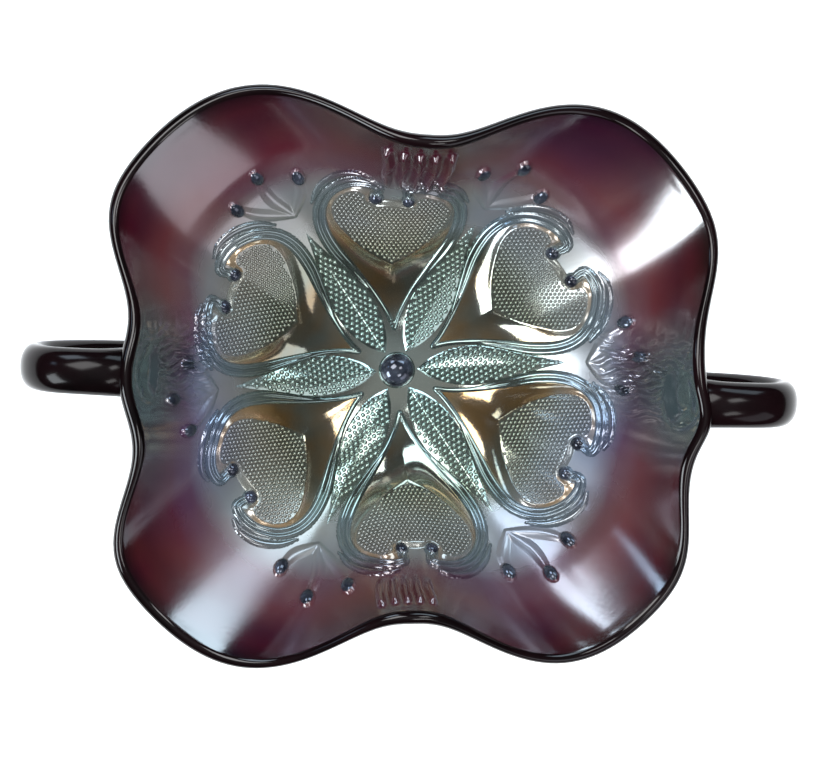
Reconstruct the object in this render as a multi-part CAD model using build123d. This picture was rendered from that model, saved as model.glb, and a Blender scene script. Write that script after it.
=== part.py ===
from build123d import *
import math
import os

import numpy as np

# Footed two-handled glass bowl with a crimped four-lobed rim.
# Millimetres, +Z up, origin on the table at the middle of the foot, handles along X.

# Bowl: glass thickness on the axis and at the rim, and the plug that closes the middle
FLOOR_Z = 48.0
FLOOR_T = 5.0
RIM_T = 3.5
CORE_R = 3.0
PLUG_R = 3.6
PLUG_PROUD = 0.05

# Rim: four lobes, with four crimped dips between them
LOBE_R = 84.2
LOBE_Z = 79.0
LOBE_SLOPE = 20.0
# bearing, how far the rim is drawn in, half-width in degrees, flatness, rise, added slope
DIPS = (
    (357.5, 12.8, 24.8, 4.0, 11.0, 42.0),
    (89.0, 25.1, 24.7, 2.4, 16.0, 50.0),
    (182.0, 17.8, 25.0, 4.0, 11.0, 42.0),
    (272.0, 26.5, 23.6, 2.5, 16.0, 50.0),
)
# bearing, height and half-width of the small swell in the rim over each handle
SWELLS = ((355.0, 2.5, 6.0), (180.0, 2.8, 10.0))
# how far, and towards which bearing, the whole rim leans
LEAN = 1.1
LEAN_BEARING = 119.0
RISE_WIDTH = 30.0
INNER_PULL = 0.38
RIM_PULL = 0.36
WALL_SECTIONS = 48
SEAM_BEARING = 45.0
NOSE = 2 / 3

# Pattern: six petals with six hearts between them, measured along the glass from the middle
SPOKES = 6
PETAL_BEARING = 6.0
HEART_BEARING = 36.0
BOSS_R = 4.6
BOSS_H = 2.6
PETAL_H = 0.8
FIELD_H = 0.5
SINK = 0.9
SCROLL_W = 2.0
SCROLL_H = 1.0
TIP_R = 1.3
KNOB_R = 1.6
STEM_W = 1.5
SPRAY_H = 1.1
ROOT_R = 1.2
BEAD_R = 2.0

# Half outline of a petal: along its axis, then out from it
PETAL_LINE = (
    (6.0, 0.0),
    (9.5, 2.5),
    (14.0, 4.1),
    (19.0, 4.7),
    (24.5, 4.1),
    (31.0, 2.6),
    (38.0, 1.0),
    (42.0, 0.0),
)
# Centre line of one half of a heart's scroll, from its point round to the knob
SCROLL_LINE = (
    (10.8, 0.3),
    (14.5, 1.5),
    (20.0, 4.6),
    (26.3, 9.5),
    (32.5, 14.4),
    (38.8, 17.6),
    (44.5, 18.3),
    (49.8, 16.4),
    (53.8, 12.2),
    (55.4, 7.8),
    (54.6, 4.0),
    (50.4, 4.4),
)
# Half outline of a heart's stippled field, from its point round to the notch
FIELD_LINE = (
    (29.0, 0.0),
    (32.4, 5.6),
    (36.5, 10.2),
    (41.0, 13.8),
    (45.5, 15.0),
    (49.0, 13.2),
    (50.3, 9.4),
    (48.0, 6.4),
    (46.4, 3.0),
    (46.0, 0.0),
)
# One spray: bearing from its petal in degrees, and how far out each bead sits
SPRAY_BEADS = ((-8.0, 60.0), (0.5, 66.0), (9.0, 62.0))
SPRAY_ROOT = 52.5
SPRAY_BOW = 1.4

# Handles: an oval bar bent into a loop in the XZ plane
BAR_ACROSS = 11.0
BAR_THICK = 7.0
HANDLE_LINE = (
    (62.0, 82.0),
    (75.0, 86.3),
    (86.5, 84.0),
    (91.2, 76.0),
    (88.2, 67.0),
    (78.5, 61.0),
    (66.0, 59.4),
    (55.0, 60.4),
    (45.0, 62.4),
)
HANDLE_SHIFT = 1.5
HANDLE_Y = {-1: 0.7, 1: -2.4}

# Stem and foot, turned about Z
STEM_WAIST_R = 8.0
STEM_WAIST_Z = 26.0
STEM_TOP_R = 20.0
STEM_FLARE_Z = 44.8
STEM_TOP_Z = 46.5
STEM_BASE_R = 12.0
FOOT_TOP_Z = 16.0
FOOT_R = 37.5
FOOT_EDGE_R = 36.5
FOOT_EDGE_Z = 4.2
FOOT_NOSE_Z = 2.2
RING_R = 35.9
RING_IN_R = 33.0
HOLLOW_Z = 9.0
# Where the foot's upper and under curves are drawn towards, as (radius, height)
FOOT_UPPER_PULLS = ((16.0, 10.0), (31.5, 9.2))
FOOT_UNDER_PULLS = ((30.0, 4.0), (16.5, 9.0))

PARTS = "parts"
os.makedirs(PARTS, exist_ok=True)


def save(solid, name):
    export_step(solid, f"{PARTS}/{name}.step")


def rim(bearing):
    """Outer radius, top height and end slope of the rim at a bearing in degrees."""
    radius, top, slope = LOBE_R, LOBE_Z, LOBE_SLOPE
    for middle, depth, width, flatness, rise, added in DIPS:
        away = abs((bearing - middle + 180.0) % 360.0 - 180.0)
        radius -= depth * math.exp(-((away / width) ** flatness))
        swell = math.exp(-((away / RISE_WIDTH) ** 2))
        top += rise * swell
        slope += added * swell
    for middle, height, width in SWELLS:
        away = abs((bearing - middle + 180.0) % 360.0 - 180.0)
        radius += height * math.exp(-((away / width) ** 2))
    radius += LEAN * math.cos(math.radians(bearing - LEAN_BEARING))
    return radius, top, math.radians(slope)


def shifted(point, slope, height):
    """A profile point moved square to the glass, upwards when height is positive."""
    return point[0] - height * math.sin(slope), point[1] + height * math.cos(slope)


def wall_curve(start, end, slope):
    """Four control points of a profile that leaves the middle level and ends at a slope."""
    chord = math.dist(start, end)
    pull = RIM_PULL * chord
    return (
        start,
        (start[0] + INNER_PULL * chord, start[1]),
        (end[0] - pull * math.cos(slope), end[1] - pull * math.sin(slope)),
        end,
    )


def offset_curve(bearing, height):
    """The profile at a bearing, set off square to the inner face by a height."""
    radius, top, slope = rim(bearing)
    lip = (radius - RIM_T / 2, top - RIM_T / 2)
    floor = height * FLOOR_T / RIM_T if height < 0 else height
    return wall_curve((CORE_R, FLOOR_Z + floor), shifted(lip, slope, RIM_T / 2 + height), slope)


def turned(point, bearing):
    """A profile point (radius, height) placed at a bearing."""
    angle = math.radians(bearing)
    return point[0] * math.cos(angle), point[0] * math.sin(angle), point[1]


def section(bearing, low, high, nose):
    """A closed band between two offsets of the inner face, its outer end bulged by nose."""
    slope = rim(bearing)[2]
    above = offset_curve(bearing, high)
    below = offset_curve(bearing, low)
    bulge = (nose * math.cos(slope), nose * math.sin(slope))
    end = [above[3], *[(p[0] + bulge[0], p[1] + bulge[1]) for p in (above[3], below[3])], below[3]]
    loops = (above, end, below[::-1], (below[0], above[0]))
    return Wire([Bezier(*[turned(p, bearing) for p in loop]) for loop in loops])


def round_wall(low, high, nose):
    """A band lofted all the way round from its sections."""
    step = 360.0 / WALL_SECTIONS
    bearings = [SEAM_BEARING + step * i for i in range(WALL_SECTIONS)]
    sections = [section(bearing, low, high, nose) for bearing in bearings]
    return Solid.make_loft(sections + sections[:1])


def profile(bearing, steps=400):
    """The inner face at one bearing as dense radius and height arrays."""
    points = np.array(offset_curve(bearing, 0.0))
    t = np.linspace(0.0, 1.0, steps)[:, None]
    weights = np.hstack([(1 - t) ** 3, 3 * t * (1 - t) ** 2, 3 * t**2 * (1 - t), t**3])
    return np.vstack([[[0.0, FLOOR_Z]], weights @ points])


def on_glass(along, across, bearing):
    """Where a flat pattern point lands on the bowl's inner face."""
    reach = math.hypot(along, across)
    at = bearing + math.degrees(math.atan2(across, along))
    line = profile(at)
    travelled = np.concatenate([[0.0], np.cumsum(np.hypot(*np.diff(line, axis=0).T))])
    r = float(np.interp(reach, travelled, line[:, 0]))
    z = float(np.interp(reach, travelled, line[:, 1]))
    return Vector(*turned((r, z), at))


def curve_over(points):
    """A smooth level curve under points on the glass, drawn on the table."""
    return Spline(*[Vector(p.X, p.Y, 0) for p in points])


def band(points, width):
    """A level strip that follows points on the glass."""
    return trace(curve_over(points), line_width=width)


def spot(point, radius):
    """A level disc under a point on the glass."""
    return Pos(point.X, point.Y) * Circle(radius)


def largest(shape):
    """The one solid that matters, without any crumb cut off inside the glass."""
    return shape.solids().sort_by(SortBy.VOLUME)[-1]


# Bowl: floor and wall are one thickness of glass
plug = Pos(0, 0, FLOOR_Z - FLOOR_T / 2) * Cylinder(PLUG_R, FLOOR_T + 2 * PLUG_PROUD)
bowl = round_wall(-RIM_T, 0.0, RIM_T * NOSE) + plug
save(bowl, "bowl")


# Handles
def handle(side):
    path = Spline(*[(side * x + HANDLE_SHIFT, HANDLE_Y[side], z) for x, z in HANDLE_LINE])
    start = Plane(origin=path @ 0, x_dir=(0, 1, 0), z_dir=path % 0)
    bar = sweep(start * Ellipse(BAR_ACROSS / 2, BAR_THICK / 2), path=path)
    return largest(bar - bowl)


save(handle(-1), "handle_left")
save(handle(1), "handle_right")

# Foot
foot_edges = [
    Line((0, 0, HOLLOW_Z), (0, 0, FOOT_TOP_Z)),
    Line((0, 0, FOOT_TOP_Z), (STEM_BASE_R, 0, FOOT_TOP_Z)),
    Bezier(
        (STEM_BASE_R, 0, FOOT_TOP_Z),
        *[(r, 0, z) for r, z in FOOT_UPPER_PULLS],
        (FOOT_EDGE_R, 0, FOOT_EDGE_Z),
    ),
    ThreePointArc((FOOT_EDGE_R, 0, FOOT_EDGE_Z), (FOOT_R, 0, FOOT_NOSE_Z), (RING_R, 0, 0)),
    Line((RING_R, 0, 0), (RING_IN_R, 0, 0)),
    Bezier(
        (RING_IN_R, 0, 0),
        *[(r, 0, z) for r, z in FOOT_UNDER_PULLS],
        (0, 0, HOLLOW_Z),
    ),
]
foot = revolve(Face(Wire(foot_edges)), Axis.Z)
save(foot, "foot")

# Stem, with its top cut to the underside of the bowl
stem_edges = [
    Line((0, 0, STEM_TOP_Z), (0, 0, FOOT_TOP_Z)),
    Line((0, 0, FOOT_TOP_Z), (STEM_BASE_R, 0, FOOT_TOP_Z)),
    Spline(
        (STEM_BASE_R, 0, FOOT_TOP_Z),
        (STEM_WAIST_R, 0, STEM_WAIST_Z),
        (STEM_TOP_R, 0, STEM_FLARE_Z),
        tangents=[(-1, 0, 1), (1, 0, 0.35)],
    ),
    Line((STEM_TOP_R, 0, STEM_FLARE_Z), (STEM_TOP_R, 0, STEM_TOP_Z)),
    Line((STEM_TOP_R, 0, STEM_TOP_Z), (0, 0, STEM_TOP_Z)),
]
save(largest(revolve(Face(Wire(stem_edges)), Axis.Z) - bowl), "stem")

# Centre boss
boss_ball_r = (BOSS_R**2 + BOSS_H**2) / (2 * BOSS_H)
boss_ball = Pos(0, 0, FLOOR_Z + BOSS_H - boss_ball_r) * Sphere(boss_ball_r)
boss_reach = Pos(0, 0, FLOOR_Z) * Cylinder(BOSS_R, 4 * BOSS_H)
save(largest((boss_ball & boss_reach) - bowl), "centre_boss")


def raise_on_glass(name, first_bearing, height, draw):
    """Six like ornaments: each flat drawing is raised off the glass by a height."""
    layer = round_wall(-SINK, height, 0.0)
    for i in range(SPOKES):
        block = extrude(draw(first_bearing + 360.0 / SPOKES * i), 2 * LOBE_Z, dir=(0, 0, 1))
        save(largest((block & layer) - bowl), f"{name}_{i + 1}")


def two_sided(half_line, bearing):
    """A closed drawing that mirrors half an outline about its own axis."""
    sides = [[on_glass(x, side * y, bearing) for x, y in half_line] for side in (1, -1)]
    return Face(Wire([curve_over(points) for points in sides]))


def draw_scroll(bearing):
    """Two facing ridges from the heart's point, each curling to a round knob."""
    drawing = spot(on_glass(SCROLL_LINE[0][0], 0.0, bearing), TIP_R)
    for side in (1, -1):
        line = [on_glass(x, side * y, bearing) for x, y in SCROLL_LINE]
        drawing += band(line, SCROLL_W) + spot(line[-1], KNOB_R)
    return drawing


def draw_spray(bearing):
    """Curved stems from the end of a petal, each ending in a bead."""
    root = on_glass(SPRAY_ROOT, 0.0, bearing)
    drawing = spot(root, ROOT_R)
    for lean, reach in SPRAY_BEADS:
        across = reach * math.sin(math.radians(lean))
        along = reach * math.cos(math.radians(lean))
        bend = math.copysign(SPRAY_BOW, lean)
        middle = on_glass((SPRAY_ROOT + along) / 2, across / 2 + bend, bearing)
        tip = on_glass(along, across, bearing)
        drawing += band([root, middle, tip], STEM_W) + spot(tip, BEAD_R)
    return drawing


raise_on_glass("petal", PETAL_BEARING, PETAL_H, lambda b: two_sided(PETAL_LINE, b))
raise_on_glass("heart_field", HEART_BEARING, FIELD_H, lambda b: two_sided(FIELD_LINE, b))
raise_on_glass("heart_scroll", HEART_BEARING, SCROLL_H, draw_scroll)
raise_on_glass("spray", PETAL_BEARING, SPRAY_H, draw_spray)
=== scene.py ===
import math

import bpy
import numpy as np
from mathutils import Matrix, Vector


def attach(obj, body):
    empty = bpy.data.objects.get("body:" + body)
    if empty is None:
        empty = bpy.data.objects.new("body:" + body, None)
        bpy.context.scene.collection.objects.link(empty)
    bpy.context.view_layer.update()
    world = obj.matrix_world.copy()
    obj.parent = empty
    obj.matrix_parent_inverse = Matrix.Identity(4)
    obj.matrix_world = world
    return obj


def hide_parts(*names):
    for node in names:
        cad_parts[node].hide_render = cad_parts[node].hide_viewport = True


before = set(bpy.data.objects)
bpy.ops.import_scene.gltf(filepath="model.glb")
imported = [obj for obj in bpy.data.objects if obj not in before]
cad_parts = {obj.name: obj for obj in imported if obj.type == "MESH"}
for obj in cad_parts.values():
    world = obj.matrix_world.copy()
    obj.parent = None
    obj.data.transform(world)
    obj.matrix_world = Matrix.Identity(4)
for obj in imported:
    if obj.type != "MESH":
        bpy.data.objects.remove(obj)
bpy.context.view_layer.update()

MM = 0.001
BODY = "root"

# ---------------------------------------------------------------- bowl shape, as in the CAD
# Millimetres, with bearings in degrees counter-clockwise from +X
FLOOR_Z = 48.0
FLOOR_T = 5.0
RIM_T = 3.5
CORE_R = 3.0
LOBE_R = 84.2
LOBE_Z = 79.0
LOBE_SLOPE = 20.0
# bearing, how far the rim is drawn in, half-width in degrees, flatness, rise, added slope
DIPS = (
    (357.5, 12.8, 24.8, 4.0, 11.0, 42.0),
    (89.0, 25.1, 24.7, 2.4, 16.0, 50.0),
    (182.0, 17.8, 25.0, 4.0, 11.0, 42.0),
    (272.0, 26.5, 23.6, 2.5, 16.0, 50.0),
)
# bearing, height and half-width of the small swell in the rim over each handle
SWELLS = ((355.0, 2.5, 6.0), (180.0, 2.8, 10.0))
# how far, and towards which bearing, the whole rim leans
LEAN = 1.1
LEAN_BEARING = 119.0
# half-width in degrees of the rise at each dip
RISE_WIDTH = 30.0
# how far the wall profile's two ends pull straight, as shares of its chord
INNER_PULL = 0.38
RIM_PULL = 0.36
# points on one wall profile, and the radius within which the floor is level
PROFILE_STEPS = 300
LEVEL_R = 2.0

# ---------------------------------------------------------------- pattern, in flat millimetres
SPOKES = 6
PETAL_BEARING = 6.0
HEART_BEARING = 36.0
# how far a relief's edge sinks into the glass, and how deep its underside lies
SINK = 0.07
FLOOR_DEPTH = 0.7

PETAL_LINE = (
    (5.0, 0.0),
    (7.5, 2.0),
    (10.0, 3.3),
    (14.0, 4.6),
    (19.0, 5.2),
    (24.5, 4.6),
    (31.0, 3.1),
    (38.0, 1.4),
    (44.0, 0.0),
)
SCROLL_LINE = (
    (10.8, 0.1),
    (14.5, 1.5),
    (20.0, 4.6),
    (26.3, 9.5),
    (32.5, 14.4),
    (38.8, 17.6),
    (44.5, 18.3),
    (49.8, 16.4),
    (53.8, 12.2),
    (55.4, 7.8),
    (54.6, 4.0),
    (50.4, 4.4),
)
FIELD_LINE = (
    (29.0, 0.0),
    (32.4, 5.6),
    (36.5, 10.2),
    (41.0, 14.0),
    (45.5, 15.5),
    (49.6, 13.9),
    (52.4, 10.2),
    (52.0, 7.4),
    (49.6, 6.6),
    (48.2, 4.6),
    (48.6, 2.4),
    (49.6, 0.0),
)
CRESCENT_LINE = ((46.5, 20.6), (51.6, 18.6), (56.0, 14.6), (58.2, 9.8), (57.8, 6.0))


def turned(bearing, middle):
    """Degrees from a middle bearing, from -180 to 180."""
    return (bearing - middle + 180.0) % 360.0 - 180.0


def rim(bearing):
    """Outer radius, top height and end slope of the rim at bearings in degrees."""
    bearing = np.asarray(bearing, float)
    radius = np.full_like(bearing, LOBE_R)
    top = np.full_like(bearing, LOBE_Z)
    slope = np.full_like(bearing, LOBE_SLOPE)
    for middle, depth, width, flatness, rise, added in DIPS:
        away = np.abs(turned(bearing, middle))
        radius = radius - depth * np.exp(-((away / width) ** flatness))
        swell = np.exp(-((away / RISE_WIDTH) ** 2))
        top = top + rise * swell
        slope = slope + added * swell
    for middle, height, width in SWELLS:
        away = np.abs(turned(bearing, middle))
        radius = radius + height * np.exp(-((away / width) ** 2))
    radius = radius + LEAN * np.cos(np.radians(bearing - LEAN_BEARING))
    return radius, top, np.radians(slope)


def profile_curve(bearing, height, t):
    """Radius and height along the wall profile at one bearing, set off from the inner face."""
    radius, top, slope = (float(v) for v in rim(bearing))
    lip_r, lip_z = radius - RIM_T / 2, top - RIM_T / 2
    side = RIM_T / 2 + height
    end = np.array([lip_r - side * math.sin(slope), lip_z + side * math.cos(slope)])
    floor = height * FLOOR_T / RIM_T if height < 0 else height
    start = np.array([CORE_R, FLOOR_Z + floor])
    chord = np.hypot(*(end - start))
    pull = np.array([math.cos(slope), math.sin(slope)]) * RIM_PULL * chord
    hard = (start, start + np.array([INNER_PULL * chord, 0.0]), end - pull, end)
    t = t[:, None]
    parts = ((1 - t) ** 3, 3 * t * (1 - t) ** 2, 3 * t**2 * (1 - t), t**3)
    return sum(w * p for w, p in zip(parts, hard))


# Table of the inner face: rows are bearings, columns are distances along the glass
STEP_B = 0.5
STEP_RHO = 0.25
RHO_MAX = 100.0
bearings = np.arange(0.0, 360.0, STEP_B)
rhos = np.arange(0.0, RHO_MAX + STEP_RHO, STEP_RHO)
table_r = np.zeros((len(bearings), len(rhos)))
table_z = np.zeros_like(table_r)
reach = np.zeros(len(bearings))
for i, b in enumerate(bearings):
    curve = np.vstack([[[0.0, FLOOR_Z]], profile_curve(b, 0.0, np.linspace(0.0, 1.0, PROFILE_STEPS))])
    gone = np.concatenate([[0.0], np.cumsum(np.hypot(*np.diff(curve, axis=0).T))])
    reach[i] = gone[-1]
    beyond = np.maximum(rhos - gone[-1], 0.0)
    end_slope = float(rim(b)[2])
    table_r[i] = np.interp(rhos, gone, curve[:, 0]) + beyond * math.cos(end_slope)
    table_z[i] = np.interp(rhos, gone, curve[:, 1]) + beyond * math.sin(end_slope)
angle = np.radians(bearings)[:, None]
table_p = np.stack([table_r * np.cos(angle), table_r * np.sin(angle), table_z], axis=-1)
along_b = np.roll(table_p, -1, axis=0) - np.roll(table_p, 1, axis=0)
along_rho = np.gradient(table_p, axis=1)
table_n = np.cross(along_rho, along_b)
table_n[:, : int(LEVEL_R / STEP_RHO)] = (0.0, 0.0, 1.0)
table_n /= np.linalg.norm(table_n, axis=-1, keepdims=True)


def look_up(rho, bearing):
    """Position and normal on the inner face, for arrays of distance and bearing."""
    u = (np.asarray(bearing) % 360.0) / STEP_B
    v = np.clip(np.asarray(rho) / STEP_RHO, 0.0, len(rhos) - 1.001)
    i0, j0 = np.floor(u).astype(int), np.floor(v).astype(int)
    fu, fv = (u - i0)[..., None], (v - j0)[..., None]
    i0, i1 = i0 % len(bearings), (i0 + 1) % len(bearings)
    out = []
    for tab in (table_p, table_n):
        low = tab[i0, j0] * (1 - fv) + tab[i0, j0 + 1] * fv
        high = tab[i1, j0] * (1 - fv) + tab[i1, j0 + 1] * fv
        out.append(low * (1 - fu) + high * fu)
    return out


def smoothstep(x, low, high):
    t = np.clip((x - low) / (high - low), 0.0, 1.0)
    return t * t * (3 - 2 * t)


def window(x, start, rise, stop, fall):
    """0 up to start, 1 once it has risen, and 0 again past the fall that begins at stop."""
    return smoothstep(x, start, start + rise) * (1 - smoothstep(x, stop, stop + fall))


# ---------------------------------------------------------------- fine relief of the shell
# Slow unevenness of hand-finished glass: height and where it fades in, then for each wave its
# share, its two rates in radians per millimetre, and its phase
WAVE_H = 0.10
WAVE_FROM = (20.0, 60.0)
SLOW_WAVES = (
    (0.25, 0.11, 0.09, 0.9),
    (0.25, 0.11, -0.09, 1.7),
    (0.30, 0.19, -0.14, 2.1),
    (0.20, 0.08, 0.27, math.pi / 2),
)
# Hand-fold creases: bearing, where each starts, height, reach of its steep side, which side is steep
CREASES = (
    (41.0, 58.0, 1.3, 11.0, 1),
    (139.0, 60.0, 1.1, 9.0, -1),
    (312.7, 60.0, 0.8, 8.0, 1),
    (128.0, 78.0, 0.5, 5.0, 1),
)
CREASE_RISE = 10.0
CREASE_STOP = 68.0
CREASE_FALL = 23.0
# the gentle side's bulge, and its reach in steep-side reaches
CREASE_BULGE = 0.35
CREASE_TAIL = 2.5
# Crimp ribs: bearing, half-width in degrees, first and last distance along the glass, height
CRIMPS = ((90.0, 10.5, 54.0, 73.0, 2.1), (271.0, 9.0, 60.0, 71.0, 1.5))
CRIMP_COUNT = 5.5
CRIMP_SWAY = 0.35
CRIMP_SWAY_RATE = 0.5
CRIMP_EDGE = 0.2
CRIMP_RISE = 6.0
CRIMP_FALL = 2.0
CRIMP_SHARPNESS = 1.5
# Handle seats: bearing and distance of the thumbprint, its half-width and half-length, where the
# ripples start and how far they are shifted
SEATS = ((359.0, 79.0, 8.2, 6.0, 52.0, 5.5), (179.0, 75.5, 8.0, 4.6, 50.0, -3.0))
THUMB_DEPTH = 0.7
THUMB_WALL = (0.4, 1.0)
THUMB_LIP_H = 0.25
THUMB_LIP_AT = 1.08
THUMB_LIP_WIDE = 0.1
# Ripples: size, then rates along and across the glass in radians per millimetre
RIPPLE_H = 0.6
RIPPLE_CURLS = ((1.7, 0.62, 0.5), (1.1, 0.37, -0.8))
RIPPLE_FANS = ((1.0, 0.0, 2.6), (0.5, -1.3, 4.4))
RIPPLE_HALF = 7.5
RIPPLE_RISE = 5.0
RIPPLE_PAST = 4.0
RIPPLE_FALL = 4.0
RIPPLE_CLEAR = (1.0, 1.3)


def shell_relief(rho, bearing):
    """Height of the bowl's own surface detail over the smooth inner face."""
    a = np.radians(bearing)
    x, y = rho * np.cos(a), rho * np.sin(a)
    slow = sum(share * np.sin(kx * x + ky * y + phase) for share, kx, ky, phase in SLOW_WAVES)
    h = WAVE_H * slow * smoothstep(rho, *WAVE_FROM)
    # Sharp creases where the soft glass was folded by hand
    for middle, start, high, wide, side in CREASES:
        off = side * np.radians(turned(bearing, middle)) * rho / wide
        steep = np.exp(np.minimum(off, 0.0))
        gentle = (1.0 + CREASE_BULGE * off) * np.exp(-((off / CREASE_TAIL) ** 2))
        lasting = window(rho, start, CREASE_RISE, CREASE_STOP, CREASE_FALL)
        h = h + high * np.where(off < 0, steep, gentle) * lasting
    # Crimp ribs under the rim at the two deep dips
    for middle, half, start, stop, high in CRIMPS:
        off = turned(bearing, middle)
        fan = np.cos(off / half * CRIMP_COUNT * math.pi + CRIMP_SWAY * np.sin(CRIMP_SWAY_RATE * rho))
        across = smoothstep(half - np.abs(off), 0.0, half * CRIMP_EDGE)
        along = window(rho, start, CRIMP_RISE, stop, CRIMP_FALL)
        h = h + high * across * along * (0.5 + 0.5 * fan) ** CRIMP_SHARPNESS
    # Crackled ripples and an oval thumbprint at each handle seat
    for middle, rho_mid, wide, long, first, shift in SEATS:
        off = np.radians(turned(bearing, middle)) * rho
        oval = np.hypot(off / wide, (rho - rho_mid) / long)
        lip = np.exp(-(((oval - THUMB_LIP_AT) / THUMB_LIP_WIDE) ** 2))
        h = h - THUMB_DEPTH * (1 - smoothstep(oval, *THUMB_WALL)) + THUMB_LIP_H * lip
        side = off - shift
        curl = sum(size * np.sin(kr * rho + ks * side) for size, kr, ks in RIPPLE_CURLS)
        fan = sum(size * np.sin(kr * rho + ks * side + curl) for size, kr, ks in RIPPLE_FANS)
        across = np.exp(-((side / RIPPLE_HALF) ** 2)) * smoothstep(oval, *RIPPLE_CLEAR)
        along = window(rho, first, RIPPLE_RISE, rho_mid + RIPPLE_PAST, RIPPLE_FALL)
        h = h + RIPPLE_H * across * along * fan
    return h


# ---------------------------------------------------------------- mesh helpers
TINY = 1e-6
# Stipple domes: each ring's share of the radius and of the height, and the number of sides
DOME_RINGS = ((1.0, -0.15), (0.92, 0.42), (0.62, 0.82))
DOME_SIDES = 8


def new_object(name, verts, faces):
    mesh = bpy.data.meshes.new(name)
    mesh.from_pydata((np.asarray(verts) * MM).tolist(), [], faces)
    mesh.update()
    mesh.shade_smooth()
    obj = bpy.data.objects.new(name, mesh)
    bpy.context.scene.collection.objects.link(obj)
    return obj


def grid_faces(rows, cols, flip=False):
    """Quads of a grid of rows by cols vertices that wraps round its columns."""
    r, c = np.meshgrid(np.arange(rows - 1), np.arange(cols), indexing="ij")
    a, b = (r * cols + c).ravel(), (r * cols + (c + 1) % cols).ravel()
    quads = np.stack([a, b, b + cols, a + cols], 1)
    return (quads[:, ::-1] if flip else quads).tolist()


def finish_piece(obj, slot, nodes, *materials):
    for m in materials:
        obj.data.materials.append(m)
    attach(obj, BODY)
    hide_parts(*nodes)


def set_materials(obj, index):
    """Give each face the material of its index."""
    obj.data.polygons.foreach_set("material_index", index)
    obj.data.update()


def smooth_line(points, per_span=8):
    """A Catmull-Rom curve through given points."""
    p = np.array(points, float)
    ext = np.vstack([2 * p[0] - p[1], p, 2 * p[-1] - p[-2]])
    t = np.linspace(0, 1, per_span, endpoint=False)[:, None]
    out = []
    for a, b, c, d in zip(ext, ext[1:], ext[2:], ext[3:]):
        square = 2 * a - 5 * b + 4 * c - d
        cube = 3 * b - a - 3 * c + d
        out.append(0.5 * (2 * b + (c - a) * t + square * t**2 + cube * t**3))
    out.append(ext[-2][None])
    return np.vstack(out)


def to_line(x, y, line):
    """Distance from points to a polyline, and how far along it (0 to 1) the nearest point is."""
    best = np.full(x.shape, math.inf)
    share = np.zeros(x.shape)
    lengths = np.hypot(*np.diff(line, axis=0).T)
    gone = np.concatenate([[0.0], np.cumsum(lengths)])
    for k in range(len(line) - 1):
        ax, ay = line[k]
        bx, by = line[k + 1]
        ux, uy = bx - ax, by - ay
        t = np.clip(((x - ax) * ux + (y - ay) * uy) / (lengths[k] ** 2), 0, 1)
        d = np.hypot(x - ax - t * ux, y - ay - t * uy)
        near = d < best
        best = np.where(near, d, best)
        share = np.where(near, (gone[k] + t * lengths[k]) / gone[-1], share)
    return best, share


def inside(x, y, outline):
    """Whether points lie inside a closed outline."""
    result = np.zeros(x.shape, bool)
    for (ax, ay), (bx, by) in zip(outline, np.roll(outline, -1, axis=0)):
        if ay == by:
            continue
        crosses = (ay > y) != (by > y)
        result ^= crosses & (x < (bx - ax) * (y - ay) / (by - ay) + ax)
    return result


def on_glass(x, y, h, bearing):
    """Points of a flat patch, laid on the bowl at a bearing and raised by h."""
    rho = np.hypot(x, y)
    at = bearing + np.degrees(np.arctan2(y, x))
    p, n = look_up(rho, at)
    return p + n * (h + shell_relief(rho, at))[..., None]


def flat_patch(x0, x1, y0, y1, step, height):
    """A closed relief on the flat pattern: x, y, height and faces, kept only where it stands proud."""
    xs = np.arange(x0, x1 + step, step)
    ys = np.arange(y0, y1 + step, step)
    gx, gy = np.meshgrid(xs, ys, indexing="ij")
    h = height(gx, gy)
    keep = h > -SINK + TINY
    cell = keep[:-1, :-1] | keep[1:, :-1] | keep[:-1, 1:] | keep[1:, 1:]
    # Cells that meet only at a corner get a third one between them, so no edge is pinched
    for _ in range(3):
        falling = cell[:-1, :-1] & cell[1:, 1:] & ~cell[1:, :-1] & ~cell[:-1, 1:]
        rising = cell[1:, :-1] & cell[:-1, 1:] & ~cell[:-1, :-1] & ~cell[1:, 1:]
        cell[1:, :-1] |= falling
        cell[:-1, :-1] |= rising
    corners = np.zeros(gx.shape, bool)
    for di in (0, 1):
        for dj in (0, 1):
            corners[di : di + cell.shape[0], dj : dj + cell.shape[1]] |= cell
    n = int(corners.sum())
    index = -np.ones(gx.shape, int)
    index[corners] = np.arange(n)
    ci, cj = np.nonzero(cell)
    a, b = index[ci, cj], index[ci + 1, cj]
    c, d = index[ci + 1, cj + 1], index[ci, cj + 1]
    quads = [np.stack([a, b, c, d], 1), np.stack([d, c, b, a], 1) + n]
    full = np.pad(cell, 1)
    for di, dj, p, q in ((-1, 0, d, a), (1, 0, b, c), (0, -1, a, b), (0, 1, c, d)):
        open_side = ~full[ci + 1 + di, cj + 1 + dj]
        p, q = p[open_side], q[open_side]
        quads.append(np.stack([q, p, p + n, q + n], 1))
    up = np.maximum(h[corners], -SINK)
    low = np.full(n, -FLOOR_DEPTH)
    faces = np.vstack(quads).tolist()
    return np.tile(gx[corners], 2), np.tile(gy[corners], 2), np.concatenate([up, low]), faces


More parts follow.
